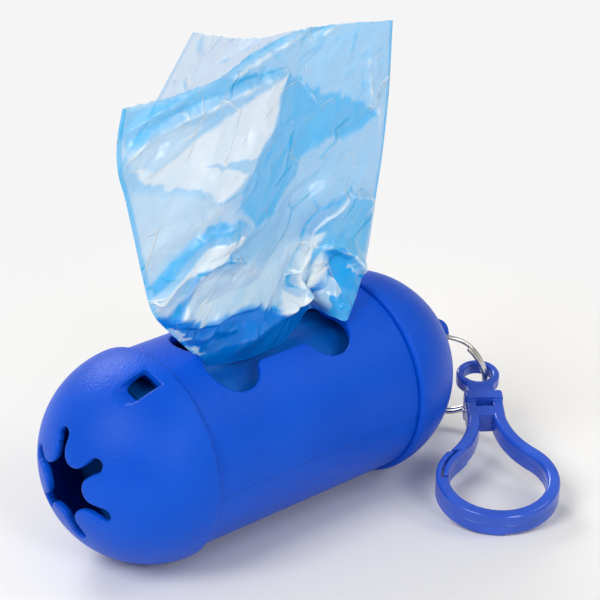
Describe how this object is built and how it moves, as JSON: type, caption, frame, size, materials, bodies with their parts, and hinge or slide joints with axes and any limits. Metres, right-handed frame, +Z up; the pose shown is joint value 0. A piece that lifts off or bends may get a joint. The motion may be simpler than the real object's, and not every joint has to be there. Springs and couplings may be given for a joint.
{
  "type": "dog waste bag dispenser",
  "caption": "Capsule-shaped dispenser for rolled waste bags: tube with bone-shaped slot, screw-on domed caps, star opening, split ring, swivel snap hook and a bag pulled out.",
  "frame": {"origin": "on the table under the middle of the whole object's footprint, below the capsule's side and the hook's loop", "axes": "+X along the capsule from the star-opening cap towards the ring-lug cap, +Y towards the back, away from the hook, +Z up, the way the bag comes out"},
  "size_m": [0.1024, 0.064, 0.094],
  "materials": {
    "blue_plastic": "satin, very fine texture",
    "hook_plastic": "glossy",
    "rolled_film": "glossy rolled film",
    "core_board": null,
    "bag_film": "thin glossy film, translucent",
    "ring_steel": "nickel-plated wire"
  },
  "bodies": {
    "capsule": {"body_tube": "blue_plastic"},
    "front_cap": {"front_cap": "blue_plastic"},
    "rear_cap": {"rear_cap": "blue_plastic"},
    "roll": {"bag_roll": "rolled_film", "roll_core": "core_board"},
    "bag": {"pulled_bag": "bag_film"},
    "ring": {"split_ring": "ring_steel"},
    "swivel": {"swivel_eye": "hook_plastic"},
    "hook": {"hook_body": "hook_plastic"},
    "gate": {"gate_arm": "hook_plastic"}
  },
  "joints": [
    {"name": "front_cap_off", "type": "slide", "parent": "capsule", "child": "front_cap", "axis": [-1, 0, 0], "range_m": [0, 0.06]},
    {"name": "rear_cap_off", "type": "slide", "parent": "capsule", "child": "rear_cap", "axis": [1, 0, 0], "range_m": [0, 0.06]},
    {"name": "roll_spin", "type": "hinge", "parent": "capsule", "child": "roll", "pos_m": [-0.00676, 0.012, 0.02], "axis": [1, 0, 0], "range_deg": [0, 95]},
    {"name": "bag_pull", "type": "slide", "parent": "capsule", "child": "bag", "axis": [0, 0, 1], "range_m": [0, 0.025]},
    {"name": "ring_swing", "type": "hinge", "parent": "rear_cap", "child": "ring", "pos_m": [0.04124, 0.012, 0.0212], "axis": [0.4587, -0.8778, 0.1384], "range_deg": [0, 60]},
    {"name": "eye_swing", "type": "hinge", "parent": "ring", "child": "swivel", "pos_m": [0.04774, 0.00354, 0.01222], "axis": [-0.1542, -0.08, 0.9848], "range_deg": [-5, 70]},
    {"name": "hook_swivel", "type": "hinge", "parent": "swivel", "child": "hook", "pos_m": [0.04674, 0.0046, 0.01229], "axis": [0.6225, 0.7498, 0.2241], "continuous": true},
    {"name": "gate_press", "type": "hinge", "parent": "hook", "child": "gate", "pos_m": [0.03627, -0.00418, 0.00919], "axis": [-0.1431, -0.1724, 0.9746], "range_deg": [0, 16], "stiffness_Nm_per_rad": 0.2}
  ],
  "couplings": [
    {"joint": "bag_pull", "follows": "roll_spin", "m_per_rad": 0.015}
  ]
}
